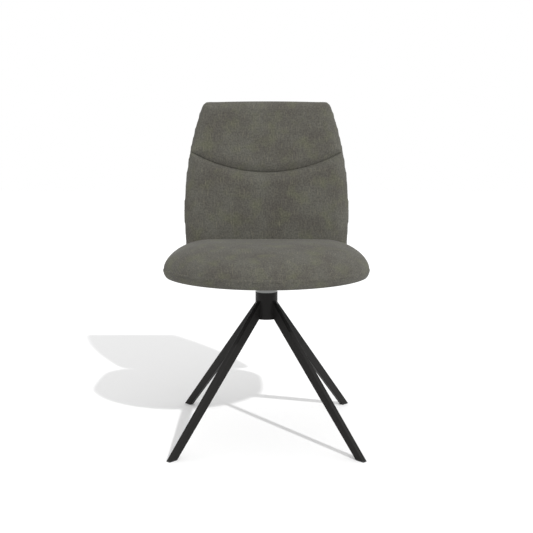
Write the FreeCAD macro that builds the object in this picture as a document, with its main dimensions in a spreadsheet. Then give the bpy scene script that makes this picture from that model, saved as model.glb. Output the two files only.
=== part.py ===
import FreeCAD, Part

import math
import os
import re

import Sketcher

Vector = FreeCAD.Vector

# Swivel dining chair: four coped tapered legs on a short column, a bushed spindle turning in it,
# and a padded seat and back on plywood. Millimetres, +Z up, the sitter faces -Y.
# The origin lies on the floor, on the swivel axis.

SIZES = {
    # Legs: tapered rectangular tube, leaning out along the diagonals
    "foot_radius": 317.2,
    "leg_lean": 41.7,
    "leg_depth_foot": 18.3,
    "leg_depth_head": 28.3,
    "leg_thickness": 13.6,
    "leg_wall": 1.5,
    "leg_edge_radius": 2.2,
    "leg_head_height": 352,
    "first_leg_turn": 45,
    # Foot glides: a pad under the tube and a plug inside it
    "glide_pad": 3,
    "glide_plug": 16,
    "plug_fit": 0.1,
    # Column and its end cap
    "column_diameter": 57,
    "column_wall": 3,
    "column_bottom": 299,
    "column_length": 69,
    "press_fit": 0.02,
    "cap_thickness": 4,
    # Bearing cup on the column and the two bushes in it
    "cup_diameter": 55,
    "cup_height": 10,
    "cup_spigot": 18,
    "bush_wall": 3,
    "upper_bush_length": 24,
    "bush_flange_diameter": 44,
    "bush_flange_thickness": 3,
    "lower_bush_length": 18,
    "lower_bush_start": 13,
    # Spindle, hub and retaining ring
    "spindle_diameter": 25,
    "running_gap": 0.05,
    "end_play": 0.3,
    "spindle_tail": 4,
    "ring_thickness": 1.2,
    "ring_depth": 0.6,
    "ring_width": 2.6,
    "hub_foot_diameter": 48,
    "hub_foot_height": 20,
    "hub_head_diameter": 70,
    # Pressed seat plate
    "plate_width": 176,
    "plate_thickness": 3,
    "plate_rim": 8,
    "plate_corner": 18,
    "plate_bead_length": 34,
    "plate_bead_width": 11,
    "plate_bead_depth": 2,
    "bolt_spacing": 140,
    "bolt_diameter": 6,
    "bolt_play": 0.3,
    "bolt_head_width": 10,
    "bolt_head_height": 4,
    "bolt_short_of_top": 1,
    "insert_diameter": 9,
    # Seat: plan of the seam line, from four arcs with rounded corners
    "seat_underside": 412,
    "seat_front_swell": 16,
    "seat_front": 263,
    "seat_half_width": 256,
    "seat_side_radius": 900,
    "seat_widest": 20,
    "seat_back_radius": 2400,
    "seat_rear": 154,
    "seat_front_corner": 58,
    "seat_rear_corner": 92,
    "smallest_corner": 4,
    "seat_seam_height": 22,
    "seat_under_roll": 21,
    "seat_crown_height": 68,
    "seat_crown_reach": 172,
    "seat_crown_power": 2.1,
    "seat_crown_degrees": 64,
    "seat_board_thickness": 12,
    "seat_board_margin": 9,
    "seat_core_thickness": 40,
    "cover_thickness": 1.5,
    "turn_in_width": 32,
    # Back: outline in its own plane, then leaned back
    "seat_back_gap": 2,
    "back_foot_rise": 6,
    "back_lean": 8.5,
    "back_length": 448,
    "back_half_width": 227.2,
    "back_side_radius": 897,
    "back_widest": 142,
    "back_top_radius": 4500,
    "back_foot_radius": 2000,
    "back_top_corner": 20,
    "back_foot_corner": 30,
    "smile_radius": 404,
    "smile_low": 252,
    "smile_corner": 22,
    "smile_gap": 0.3,
    "lumbar_depth": 32,
    "shoulder_depth": 24,
    "rear_depth": 18,
    "pad_roll": 24,
    "pad_power": 2.2,
    "pad_degrees": 72,
    "core_margin": 22,
    "core_share": 0.6,
    "back_board_thickness": 9,
    "back_board_margin": 18,
    # Brackets that carry the back on the seat board
    "bracket_width": 40,
    "bracket_thickness": 4,
    "bracket_spacing": 220,
    "bracket_end": 18,
    "bracket_rise": 130,
    "bracket_bend": 5,
    "screw_diameter": 5,
    "screw_head_width": 8,
    "screw_head_height": 3,
    "seat_screw_bite": 9,
    "back_screw_bite": 7,
    "screw_edge": 22,
    "seat_screw_pitch": 50,
    "back_screw_start": 58,
    "back_screw_pitch": 50,
}

# Places and sizes that follow from the ones above
PLACES = {
    # Legs
    "leg_slope": "tan(leg_lean)",
    "foot_half": "leg_depth_foot / 2 / cos(leg_lean)",
    "head_half": "leg_depth_head / 2 / cos(leg_lean)",
    "tube_half": "foot_half + (head_half - foot_half) * glide_pad / leg_head_height",
    "plug_top": "glide_pad + glide_plug",
    "plug_half": "foot_half + (head_half - foot_half) * plug_top / leg_head_height",
    "side_half": "leg_thickness / 2",
    "bore_side": "side_half - leg_wall",
    "bore_width": "2 * bore_side",
    "bore_step": "leg_wall / cos(leg_lean)",
    "foot_inner": "foot_radius - foot_half",
    "foot_outer": "foot_radius + foot_half",
    "tube_middle": "foot_radius - leg_slope * glide_pad",
    "tube_inner": "tube_middle - tube_half",
    "tube_outer": "tube_middle + tube_half",
    "tube_bore_inner": "tube_inner + bore_step",
    "tube_bore_outer": "tube_outer - bore_step",
    "head_middle": "foot_radius - leg_slope * leg_head_height",
    "head_inner": "head_middle - head_half",
    "head_outer": "head_middle + head_half",
    "head_bore_inner": "head_inner + bore_step",
    "head_bore_outer": "head_outer - bore_step",
    "plug_middle": "foot_radius - leg_slope * plug_top",
    "plug_width": "bore_width - 2 * plug_fit",
    "plug_foot_inner": "tube_bore_inner + plug_fit",
    "plug_foot_outer": "tube_bore_outer - plug_fit",
    "plug_top_inner": "plug_middle - plug_half + bore_step + plug_fit",
    "plug_top_outer": "plug_middle + plug_half - bore_step - plug_fit",
    # Column, cap and cup
    "column_radius": "column_diameter / 2",
    "column_bore": "column_radius - column_wall",
    "column_top": "column_bottom + column_length",
    "cap_radius": "column_bore - press_fit",
    "cap_head": "column_bottom + cap_thickness",
    "spindle_radius": "spindle_diameter / 2",
    "bush_bore": "spindle_radius + running_gap",
    "bush_radius": "bush_bore + bush_wall",
    "cup_bore": "bush_radius + press_fit",
    "cup_radius": "cup_diameter / 2",
    "cup_top": "column_top + cup_height",
    "cup_foot": "column_top - cup_spigot",
    "flange_radius": "bush_flange_diameter / 2",
    "flange_top": "cup_top + bush_flange_thickness",
    "upper_bush_foot": "cup_top - upper_bush_length",
    "lower_bush_foot": "column_bottom + lower_bush_start",
    "lower_bush_head": "lower_bush_foot + lower_bush_length",
    # Spindle, ring and hub
    "ring_head": "lower_bush_foot - end_play",
    "ring_foot": "ring_head - ring_thickness",
    "ring_bore": "spindle_radius - ring_depth",
    "ring_radius": "spindle_radius + ring_width",
    "spindle_foot": "ring_foot - spindle_tail",
    "hub_foot": "flange_top + running_gap",
    "hub_step": "hub_foot + hub_foot_height",
    "hub_foot_radius": "hub_foot_diameter / 2",
    "hub_head_radius": "hub_head_diameter / 2",
    # Seat stack, from the underside up
    "board_foot": "seat_underside + cover_thickness",
    "board_head": "board_foot + seat_board_thickness",
    "plate_head": "seat_underside",
    "plate_foot": "plate_head - plate_thickness",
    "plate_rim_foot": "plate_head - plate_rim",
    "plate_half": "plate_width / 2",
    "plate_inner_half": "plate_half - plate_thickness",
    "plate_inner_corner": "plate_corner - plate_thickness",
    "bead_foot": "plate_foot - plate_bead_depth",
    "bead_half": "plate_bead_width / 2",
    "bead_start": "hub_head_radius",
    "bead_end": "hub_head_radius + plate_bead_length",
    "bolt_place": "bolt_spacing / 2",
    "bolt_radius": "bolt_diameter / 2",
    "bolt_hole": "bolt_radius + bolt_play",
    "bolt_head_foot": "plate_foot - bolt_head_height",
    "bolt_reach": "board_head - bolt_short_of_top - plate_foot",
    "bolt_head_radius": "bolt_head_width / 2 / cos(30)",
    "insert_radius": "insert_diameter / 2",
    # Seat and back reference lines
    "seam_level": "seat_underside + seat_seam_height",
    "seat_front_radius": "seat_half_width + seat_front_swell",
    "back_foot_height": "seat_underside + back_foot_rise",
    "back_foot_place": "seat_rear + seat_back_gap + lumbar_depth * cos(back_lean)"
                       " - pad_roll * sin(back_lean)",
    "board_rear": "seat_rear - seat_under_roll - seat_board_margin",
    "seat_screw_rear": "board_rear - screw_edge",
    "seat_screw_front": "seat_screw_rear - seat_screw_pitch",
    "bracket_front": "seat_screw_front - bracket_end",
    "bracket_foot": "board_head",
    "bracket_top": "board_head + bracket_thickness",
    "bracket_place": "bracket_spacing / 2",
    "bracket_inner_face": "back_board_thickness",
    "bracket_outer_face": "back_board_thickness + bracket_thickness",
    "bend_inner_rise": "(bracket_top - back_foot_height + bracket_inner_face * sin(back_lean))"
                       " / cos(back_lean)",
    "bend_inner_place": "back_foot_place + bracket_inner_face * cos(back_lean)"
                        " + bend_inner_rise * sin(back_lean)",
    "bend_outer_rise": "(bracket_foot - back_foot_height + bracket_outer_face * sin(back_lean))"
                       " / cos(back_lean)",
    "bend_outer_place": "back_foot_place + bracket_outer_face * cos(back_lean)"
                        " + bend_outer_rise * sin(back_lean)",
    "bracket_tip_inner_place": "back_foot_place + bracket_inner_face * cos(back_lean)"
                               " + bracket_rise * sin(back_lean)",
    "bracket_tip_inner_height": "back_foot_height - bracket_inner_face * sin(back_lean)"
                                " + bracket_rise * cos(back_lean)",
    "bracket_tip_outer_place": "back_foot_place + bracket_outer_face * cos(back_lean)"
                               " + bracket_rise * sin(back_lean)",
    "bracket_tip_outer_height": "back_foot_height - bracket_outer_face * sin(back_lean)"
                                " + bracket_rise * cos(back_lean)",
    "bracket_outer_bend": "bracket_bend + bracket_thickness",
    "screw_radius": "screw_diameter / 2",
    "screw_head_radius": "screw_head_width / 2 / cos(30)",
    "seat_screw_tip": "board_head - seat_screw_bite",
    "seat_screw_reach": "seat_screw_bite + bracket_thickness",
    "back_screw_end": "back_screw_start + back_screw_pitch",
    "back_screw_reach": "bracket_thickness + back_screw_bite",
    "back_screw_head": "bracket_outer_face + screw_head_height",
}

doc = FreeCAD.newDocument("swivel_dining_chair")
sizes = doc.addObject("Spreadsheet::Sheet", "Sizes")
places = doc.addObject("Spreadsheet::Sheet", "Places")


def in_sheet(text, home):
    """Put the Sizes sheet's name before each of its aliases, and Places' where it isn't home."""

    def full(match):
        word = match.group()
        if word in SIZES:
            return "Sizes." + word
        if word in PLACES and not home:
            return "Places." + word
        return word

    return re.sub(r"[A-Za-z_]+", full, text)


def fill(sheet, cells, home=False):
    """Write one row for each name, with the name beside its value and as the value's alias."""
    for row, (name, value) in enumerate(cells.items(), start=1):
        sheet.set(f"A{row}", name)
        sheet.set(f"B{row}", "=" + in_sheet(value, True) if home else str(value))
        sheet.setAlias(f"B{row}", name)


fill(sizes, SIZES)
fill(places, PLACES, home=True)
doc.recompute()


def size(name):
    """The number behind a name; a minus sign in front of the name turns it round."""
    if name.startswith("-"):
        return -size(name[1:])
    sheet = sizes if name in SIZES else places
    return float(sheet.get(name))


def bind(target, path, text):
    target.setExpression(path, in_sheet(text, False))


def new_body(label):
    body = doc.addObject("PartDesign::Body", label)
    body.AllowCompound = True
    return body


def new_sketch(body, name, plane, lift=None):
    """An empty sketch on one of the body's own origin planes, lifted along that plane's normal."""
    sketch = body.newObject("Sketcher::SketchObject", name)
    role = {"XY": "XY_Plane", "XZ": "XZ_Plane", "YZ": "YZ_Plane"}[plane]
    support = [feature for feature in body.Origin.OriginFeatures if feature.Role == role][0]
    sketch.AttachmentSupport = [(support, "")]
    sketch.MapMode = "FlatFace"
    if lift:
        bind(sketch, "AttachmentOffset.Base.z", lift)
    return sketch


def pin_point(sketch, line, end, across, up):
    """Tie one end of a line to named distances from the sketch's origin."""
    for kind, name, axis in (("DistanceX", across, -2), ("DistanceY", up, -1)):
        if name == "0":
            sketch.addConstraint(Sketcher.Constraint("PointOnObject", line, end, axis))
        else:
            rule = Sketcher.Constraint(kind, -1, 1, line, end, size(name))
            index = sketch.addConstraint(rule)
            bind(sketch, f"Constraints[{index}]", name)


def add_loop(sketch, corners):
    """A closed loop of straight lines through corners given as pairs of names."""
    first = sketch.GeometryCount
    points = [Vector(spot(x), spot(y), 0) for x, y in corners]
    lines = [Part.LineSegment(a, b) for a, b in zip(points, points[1:] + points[:1])]
    sketch.addGeometry(lines, False)
    last = first + len(lines) - 1
    for index in range(first, last + 1):
        following = index + 1 if index < last else first
        sketch.addConstraint(Sketcher.Constraint("Coincident", index, 2, following, 1))
    for index, (across, up) in enumerate(corners, start=first):
        pin_point(sketch, index, 1, across, up)


def spot(name):
    return 0.0 if name == "0" else size(name)


def box_corners(left, right, low, high):
    return [(left, low), (right, low), (right, high), (left, high)]


def add_rounded_square(sketch, half, radius):
    """A square about the sketch's origin with equal round corners."""
    reach, bend = size(half), size(radius)
    flat = reach - bend
    for side in range(4):
        turn = math.pi / 2 * side
        ahead = Vector(math.cos(turn), math.sin(turn), 0)
        across = Vector(-ahead.y, ahead.x, 0)
        start, end = ahead * reach - across * flat, ahead * reach + across * flat
        sketch.addGeometry(Part.LineSegment(start, end), False)
        circle = Part.Circle(ahead * flat + across * flat, Vector(0, 0, 1), bend)
        sketch.addGeometry(Part.ArcOfCircle(circle, turn, turn + math.pi / 2), False)
    for side in range(4):
        line, bend_arc, following = 2 * side, 2 * side + 1, (2 * side + 2) % 8
        sketch.addConstraint(Sketcher.Constraint("Tangent", line, 2, bend_arc, 1))
        sketch.addConstraint(Sketcher.Constraint("Tangent", bend_arc, 2, following, 1))
        sketch.addConstraint(Sketcher.Constraint("Horizontal" if side % 2 else "Vertical", line))
        if side:
            sketch.addConstraint(Sketcher.Constraint("Equal", 1, bend_arc))
        name, kind = ("-" + half if side > 1 else half), ("DistanceY" if side % 2 else "DistanceX")
        index = sketch.addConstraint(Sketcher.Constraint(kind, -1, 1, line, 1, size(name)))
        bind(sketch, f"Constraints[{index}]", name)
    index = sketch.addConstraint(Sketcher.Constraint("Radius", 1, bend))
    bind(sketch, f"Constraints[{index}]", radius)


def add_circles(sketch, centres, radius):
    """Equal circles round centres given as pairs of names."""
    for across, up in centres:
        circle = Part.Circle(Vector(spot(across), spot(up), 0), Vector(0, 0, 1), size(radius))
        index = sketch.addGeometry(circle, False)
        rule = sketch.addConstraint(Sketcher.Constraint("Radius", index, size(radius)))
        bind(sketch, f"Constraints[{rule}]", radius)
        pin_point(sketch, index, 3, across, up)


def turned(label, *loops):
    """A piece turned about the swivel axis, from its half section in radius and height."""
    body = new_body(label)
    sketch = new_sketch(body, label + "_section", "XZ")
    for corners in loops:
        add_loop(sketch, corners)
    turn = body.newObject("PartDesign::Revolution", label + "_turned")
    turn.Profile = sketch
    turn.ReferenceAxis = (sketch, ["V_Axis"])
    turn.Angle = 360
    return body


def pad(body, sketch, length, downward=False, both_ways=False):
    feature = body.newObject("PartDesign::Pad", sketch.Name + "_pad")
    feature.Profile = sketch
    bind(feature, "Length", length)
    feature.Reversed = downward
    feature.Midplane = both_ways
    return feature


def pocket(body, sketch, length, upward=False, both_ways=False):
    feature = body.newObject("PartDesign::Pocket", sketch.Name + "_pocket")
    feature.Profile = sketch
    bind(feature, "Length", length)
    feature.Reversed = upward
    feature.Midplane = both_ways
    return feature


def round_edges(body, base, names, radius, name):
    feature = body.newObject("PartDesign::Fillet", name)
    feature.Base = (base, names)
    bind(feature, "Radius", radius)
    return feature


def edge_names(shape, wanted):
    return [f"Edge{i}" for i, edge in enumerate(shape.Edges, start=1) if wanted(edge)]


def turned_to(body, degrees):
    body.Placement = FreeCAD.Placement(Vector(0, 0, 0), FreeCAD.Rotation(Vector(0, 0, 1), degrees))


# Four legs and their glides, one pair for each diagonal

CORNERS = ["rear_right", "rear_left", "front_left", "front_right"]


def tapered_box(body, name, corners, width):
    """Bar of even width with its tapering side drawn in the body's XZ plane."""
    side = new_sketch(body, name, "XZ")
    add_loop(side, corners)
    return pad(body, side, width, both_ways=True)


def round_long_edges(body, bar, name):
    """Round the four edges of a bar that rise from its foot to its head."""
    doc.recompute()
    names = edge_names(bar.Shape, lambda edge: edge.BoundBox.ZLength > size("leg_edge_radius"))
    round_edges(body, bar, names, "leg_edge_radius", name)


def make_leg(label, degrees):
    """Tapered rectangular tube from the glide to the axis, coped where the column stands."""
    body = new_body(label)
    tube = tapered_box(body, label + "_side", [
        ("tube_inner", "glide_pad"), ("tube_outer", "glide_pad"),
        ("head_outer", "leg_head_height"), ("head_inner", "leg_head_height"),
    ], "leg_thickness")
    round_long_edges(body, tube, label + "_edges")
    bore = new_sketch(body, label + "_bore", "XZ")
    add_loop(bore, [
        ("tube_bore_inner", "glide_pad"), ("tube_bore_outer", "glide_pad"),
        ("head_bore_outer", "leg_head_height"), ("head_bore_inner", "leg_head_height"),
    ])
    pocket(body, bore, "bore_width", both_ways=True)
    cope = new_sketch(body, label + "_cope", "XY")
    add_circles(cope, [("0", "0")], "column_radius")
    pocket(body, cope, "leg_head_height + column_length", upward=True)
    turned_to(body, degrees)


def make_glide(label, degrees):
    """Plastic pad as wide as the tube's end, with a tapered plug up inside it."""
    body = new_body(label)
    sole = tapered_box(body, label + "_pad", [
        ("foot_inner", "0"), ("foot_outer", "0"),
        ("tube_outer", "glide_pad"), ("tube_inner", "glide_pad"),
    ], "leg_thickness")
    round_long_edges(body, sole, label + "_edges")
    tapered_box(body, label + "_plug", [
        ("plug_foot_inner", "glide_pad"), ("plug_foot_outer", "glide_pad"),
        ("plug_top_outer", "plug_top"), ("plug_top_inner", "plug_top"),
    ], "plug_width")
    turned_to(body, degrees)


for quarter, corner in enumerate(CORNERS):
    angle = size("first_leg_turn") + 90 * quarter
    make_leg("leg_" + corner, angle)
    make_glide("foot_glide_" + corner, angle)


# Column, end cap, bearing cup, bushes and thrust washer

turned("column_tube", box_corners("column_bore", "column_radius", "column_bottom", "column_top"))
turned("column_cap", box_corners("0", "cap_radius", "column_bottom", "cap_head"))
turned("bearing_cup", [
    ("cup_bore", "cup_foot"), ("cap_radius", "cup_foot"), ("cap_radius", "column_top"),
    ("cup_radius", "column_top"), ("cup_radius", "cup_top"), ("cup_bore", "cup_top"),
])
turned("upper_bush", [
    ("bush_bore", "upper_bush_foot"), ("bush_radius", "upper_bush_foot"),
    ("bush_radius", "cup_top"), ("flange_radius", "cup_top"),
    ("flange_radius", "flange_top"), ("bush_bore", "flange_top"),
])
turned("lower_bush", box_corners("bush_bore", "cap_radius", "lower_bush_foot", "lower_bush_head"))


# Spindle with its hub, held up from below by a ring in a groove

turned("spindle", [
    ("0", "spindle_foot"), ("spindle_radius", "spindle_foot"), ("spindle_radius", "ring_foot"),
    ("ring_bore", "ring_foot"), ("ring_bore", "ring_head"),
    ("spindle_radius", "ring_head"), ("spindle_radius", "plate_head"), ("0", "plate_head"),
])
turned("spindle_hub", [
    ("spindle_radius", "hub_foot"), ("hub_foot_radius", "hub_foot"), ("hub_foot_radius", "hub_step"),
    ("hub_head_radius", "hub_step"), ("hub_head_radius", "plate_foot"),
    ("spindle_radius", "plate_foot"),
])


def make_retaining_ring(label):
    """Snap ring in the groove, with the gap that lets it open."""
    body = turned(label, box_corners("ring_bore", "ring_radius", "ring_foot", "ring_head"))
    gap = new_sketch(body, label + "_gap", "XY", "ring_foot")
    add_loop(gap, box_corners("0", "ring_radius", "-ring_width", "ring_width"))
    pocket(body, gap, "ring_thickness", upward=True)


make_retaining_ring("retaining_ring")


# Pressed seat plate with a turned-down rim, four beads and the bolt holes

SQUARE = [(x, y) for x in ("-bolt_place", "bolt_place") for y in ("-bolt_place", "bolt_place")]


def make_seat_plate(label):
    body = new_body(label)
    edge = new_sketch(body, label + "_outline", "XY", "plate_head")
    add_rounded_square(edge, "plate_half", "plate_corner")
    pad(body, edge, "plate_rim", downward=True)
    hollow = new_sketch(body, label + "_hollow", "XY", "plate_rim_foot")
    add_rounded_square(hollow, "plate_inner_half", "plate_inner_corner")
    pocket(body, hollow, "plate_rim - plate_thickness", upward=True)
    bead = new_sketch(body, label + "_bead", "XY", "plate_foot")
    add_loop(bead, box_corners("bead_start", "bead_end", "-bead_half", "bead_half"))
    first = pad(body, bead, "plate_bead_depth", downward=True)
    ring = body.newObject("PartDesign::PolarPattern", label + "_beads")
    ring.Originals = [first]
    ring.Axis = (bead, ["N_Axis"])
    ring.Angle = 360
    ring.Occurrences = 4
    body.Tip = ring
    holes = new_sketch(body, label + "_holes", "XY", "plate_head")
    add_circles(holes, SQUARE, "bolt_hole")
    pocket(body, holes, "plate_rim")
    bore = new_sketch(body, label + "_bore", "XY", "plate_head")
    add_circles(bore, [("0", "0")], "spindle_radius")
    pocket(body, bore, "plate_rim")


make_seat_plate("seat_plate")


def hexagon_bolts(label, centres, sizes_of):
    """Equal hexagon bolts or screws in one group: the head's names and then the shank's."""
    head_radius, head_foot, head_height, shank_radius, shank_foot, shank_length = sizes_of
    bolts = []
    for number, (across, up) in enumerate(centres):
        head = doc.addObject("Part::Prism", f"{label}_{number}_head")
        head.Polygon = 6
        shank = doc.addObject("Part::Cylinder", f"{label}_{number}_shank")
        bind(head, "Circumradius", head_radius)
        bind(head, "Height", head_height)
        bind(shank, "Radius", shank_radius)
        bind(shank, "Height", shank_length)
        for piece, foot in ((head, head_foot), (shank, shank_foot)):
            bind(piece, "Placement.Base.x", across)
            bind(piece, "Placement.Base.y", up)
            bind(piece, "Placement.Base.z", foot)
        bolt = doc.addObject("Part::MultiFuse", f"{label}_{number}")
        bolt.Shapes = [head, shank]
        bolts.append(bolt)
    group = doc.addObject("Part::Compound", label)
    group.Links = bolts
    return group


def make_inserts(label):
    """Threaded inserts as long as the board is thick, one over each bolt hole."""
    body = new_body(label)
    sleeve = new_sketch(body, label + "_sleeve", "XY", "board_foot")
    add_circles(sleeve, SQUARE, "insert_radius")
    pad(body, sleeve, "seat_board_thickness")
    thread = new_sketch(body, label + "_thread", "XY", "board_foot")
    add_circles(thread, SQUARE, "bolt_radius")
    pocket(body, thread, "seat_board_thickness", upward=True)


make_inserts("threaded_inserts")
hexagon_bolts("plate_bolts", SQUARE, (
    "bolt_head_radius", "bolt_head_foot", "bolt_head_height",
    "bolt_radius", "plate_foot", "bolt_reach"))


# Outlines of arcs: every side is an arc of a named radius and every corner is rounded

BULGING, HOLLOW = 1, -1


def corner_centre(one, other, radius, near):
    """Centre of the round of this radius that touches two sides, on the side of near.

    Each side is a circle's centre, its radius and whether it bulges. The centre lies on both
    circles after each is drawn in by the radius, so it is where those two circles cross.
    """
    reach = [side_radius - bulge * radius for _, side_radius, bulge in (one, other)]
    between = other[0] - one[0]
    along = (between.Length ** 2 + reach[0] ** 2 - reach[1] ** 2) / (2 * between.Length)
    aside = math.sqrt(reach[0] ** 2 - along ** 2)
    ahead = Vector(between).normalize()
    across = Vector(-ahead.y, ahead.x, 0)
    crossings = [one[0] + ahead * along + across * aside * way for way in (1, -1)]
    return min(crossings, key=lambda point: point.distanceToPoint(near))


def arc(centre, start, end, radius):
    """Arc under half a turn about a centre from start to end."""
    middle = ((start + end) / 2 - centre).normalize() * radius + centre
    return Part.Arc(start, middle, end).toShape()


def outline(sides, corners, inset):
    """Closed wire of a plan that is drawn in by inset all round.

    sides are arcs in order against the clock, and corner number i, a radius and a point
    near it, lies between side i and the side after it.
    """
    drawn = [(centre, radius - bulge * inset, bulge) for centre, radius, bulge in sides]
    rounds = []
    for i, (radius, near) in enumerate(corners):
        after = drawn[(i + 1) % len(drawn)]
        small = max(radius - inset, size("smallest_corner"))
        centre = corner_centre(drawn[i], after, small, near)
        touches = [touch(side, centre) for side in (drawn[i], after)]
        rounds.append((centre, small, touches))
    edges = []
    for i, side in enumerate(drawn):
        edges.append(arc(side[0], rounds[i - 1][2][1], rounds[i][2][0], side[1]))
        edges.append(arc(rounds[i][0], rounds[i][2][0], rounds[i][2][1], rounds[i][1]))
    return Part.Wire(edges)


def touch(side, centre):
    """The point of a side that a round with this centre touches."""
    return side[0] + (centre - side[0]).normalize() * side[1]


def mirrored_corners(pairs):
    """Corners on the right side and then, in the same turning order, their mirror images."""
    right = [(radius, Vector(x, y, 0)) for radius, x, y in pairs]
    left = [(radius, Vector(-x, y, 0)) for radius, x, y in reversed(pairs)]
    return right + left


SEAT_TOP_RINGS, SEAT_BAND_RINGS, BACK_RINGS = 3, 2, 2


def crown(height, reach, power, last, steps):
    """Pairs of inset and height up a padded edge, on a quarter of a superellipse.

    The edge starts upright, and its height over the full height is the sine of an angle that
    goes from nothing to last in even steps.
    """
    pairs = []
    for step in range(steps + 1):
        share = math.sin(math.radians(last * step / steps))
        pairs.append((reach * (1 - (1 - share ** power) ** (1 / power)), height * share))
    return pairs


def raised(wire, level):
    wire.translate(Vector(0, 0, level))
    return wire


def slab(wire, thickness):
    """Flat sheet with the outline of a wire, thick upwards."""
    return Part.Face(wire).extrude(Vector(0, 0, thickness))


def feature(label, shape, placement=None):
    """A finished soft or cut-out piece as one object of the document."""
    piece = doc.addObject("Part::Feature", label)
    piece.Shape = shape
    if placement:
        piece.Placement = placement
    return piece


def shape_of(label):
    return doc.getObject(label).Shape


# Brackets and their screws, which hold the back to the seat board

BRACKET_SIDES = {"left": "-bracket_place", "right": "bracket_place"}
LEAN = size("back_lean")
BACK = FreeCAD.Placement(
    Vector(0, size("back_foot_place"), size("back_foot_height")),
    FreeCAD.Rotation(Vector(1, 0, 0), 90 - LEAN),
)


SAME_PLACE = 1e-5


def make_bracket(label, aside):
    """Flat bar along the seat board and, after its bend, up the rear face of the back board."""
    body = new_body(label)
    side = new_sketch(body, label + "_side", "YZ")
    add_loop(side, [
        ("bracket_front", "bracket_foot"), ("bend_outer_place", "bracket_foot"),
        ("bracket_tip_outer_place", "bracket_tip_outer_height"),
        ("bracket_tip_inner_place", "bracket_tip_inner_height"),
        ("bend_inner_place", "bracket_top"), ("bracket_front", "bracket_top"),
    ])
    bar = pad(body, side, "bracket_width", both_ways=True)
    doc.recompute()
    for bend, radius in (("inner", "bracket_bend"), ("outer", "bracket_outer_bend")):
        place = size(f"bend_{bend}_place")
        names = edge_names(bar.Shape, lambda edge: is_bend(edge, place))
        bar = round_edges(body, bar, names, radius, f"{label}_{bend}_bend")
        doc.recompute()
    flat = new_sketch(body, label + "_seat_holes", "XY", "bracket_foot")
    add_circles(flat, [("0", "seat_screw_front"), ("0", "seat_screw_rear")], "screw_radius")
    pocket(body, flat, "bracket_thickness", upward=True)
    upright = new_sketch(body, label + "_back_holes", "XZ")
    upright.AttachmentOffset = FreeCAD.Placement(
        Vector(0, 0, 0), FreeCAD.Rotation(Vector(1, 0, 0), -LEAN))
    bind(upright, "AttachmentOffset.Base.y", "back_foot_height")
    bind(upright, "AttachmentOffset.Base.z", "-back_foot_place")
    add_circles(upright, [("0", "back_screw_start"), ("0", "back_screw_end")], "screw_radius")
    pocket(body, upright, "bracket_outer_face")
    bind(body, "Placement.Base.x", aside)


def is_bend(edge, place):
    """Whether an edge runs straight across the bracket at this distance from the axis."""
    box = edge.BoundBox
    return box.XLength > size("bracket_width") / 2 and math.isclose(box.YMin, place, rel_tol=SAME_PLACE)


for hand, place_name in BRACKET_SIDES.items():
    make_bracket("back_bracket_" + hand, place_name)

SEAT_SCREWS = [(x, y) for x in BRACKET_SIDES.values() for y in ("seat_screw_front", "seat_screw_rear")]
BACK_SCREWS = [(x, y) for x in BRACKET_SIDES.values() for y in ("back_screw_start", "back_screw_end")]

hexagon_bolts("seat_bracket_screws", SEAT_SCREWS, (
    "screw_head_radius", "bracket_top", "screw_head_height",
    "screw_radius", "seat_screw_tip", "seat_screw_reach"))
hexagon_bolts("back_bracket_screws", BACK_SCREWS, (
    "screw_head_radius", "-back_screw_head", "screw_head_height",
    "screw_radius", "-bracket_outer_face", "back_screw_reach"))
doc.getObject("back_bracket_screws").Placement = BACK


# Seat: board, lining, core and padding from one plan

def seat_plan(inset, level):
    """The seat's plan at its seam, drawn in by inset and lifted to a level."""
    front_radius, side_radius = size("seat_front_radius"), size("seat_side_radius")
    side_centre = Vector(side_radius - size("seat_half_width"), -size("seat_widest"), 0)
    rear_centre = Vector(0, size("seat_rear") - size("seat_back_radius"), 0)
    sides = [
        (Vector(0, front_radius - size("seat_front"), 0), front_radius, BULGING),
        (Vector(-side_centre.x, side_centre.y, 0), side_radius, BULGING),
        (rear_centre, size("seat_back_radius"), BULGING),
        (side_centre, side_radius, BULGING),
    ]
    wide, deep = size("seat_half_width") / 2, size("seat_rear") / 2
    corners = mirrored_corners([
        (size("seat_front_corner"), wide, -deep), (size("seat_rear_corner"), wide, deep),
    ])
    return raised(outline(sides, corners, inset), level)


def seat_slab(inset, foot, head):
    return slab(seat_plan(inset, foot), head - foot)


def padding(plan, profile):
    """Body with straight sides between a plan's outlines at each inset and level."""
    return Part.makeLoft([plan(inset, level) for inset, level in profile], True, True)


def seat_top():
    """The seat above its seam: rolled edges up to the crown."""
    steps = crown(size("seat_crown_height"), size("seat_crown_reach"), size("seat_crown_power"),
                  size("seat_crown_degrees"), SEAT_TOP_RINGS)
    return padding(seat_plan, [(inset, size("seam_level") + up) for inset, up in steps])


def seat_band():
    """The seat below its seam, drawn in under the board's edge."""
    steps = crown(size("seat_seam_height"), size("seat_under_roll"), 2, 90, SEAT_BAND_RINGS)
    return padding(seat_plan, [(inset, size("seam_level") - down) for inset, down in reversed(steps)])


def pins(radius, foot, head):
    """Straight pins between two levels through the plate's four bolt places."""
    return [Part.makeCylinder(radius, head - foot, Vector(size(x), size(y), foot)) for x, y in SQUARE]


def in_back_frame(shape):
    moved = shape.copy()
    moved.Placement = BACK.inverse() * moved.Placement
    return moved


doc.recompute()
BOARD_INSET = size("seat_under_roll") + size("seat_board_margin")
OPENING_INSET = BOARD_INSET + size("turn_in_width")
underside, board_foot, board_head = size("seat_underside"), size("board_foot"), size("board_head")
brackets = [shape_of("back_bracket_" + hand) for hand in BRACKET_SIDES]
seat_screws, back_screws = shape_of("seat_bracket_screws"), shape_of("back_bracket_screws")
back_hardware = [in_back_frame(shape) for shape in brackets + [back_screws]]

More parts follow.
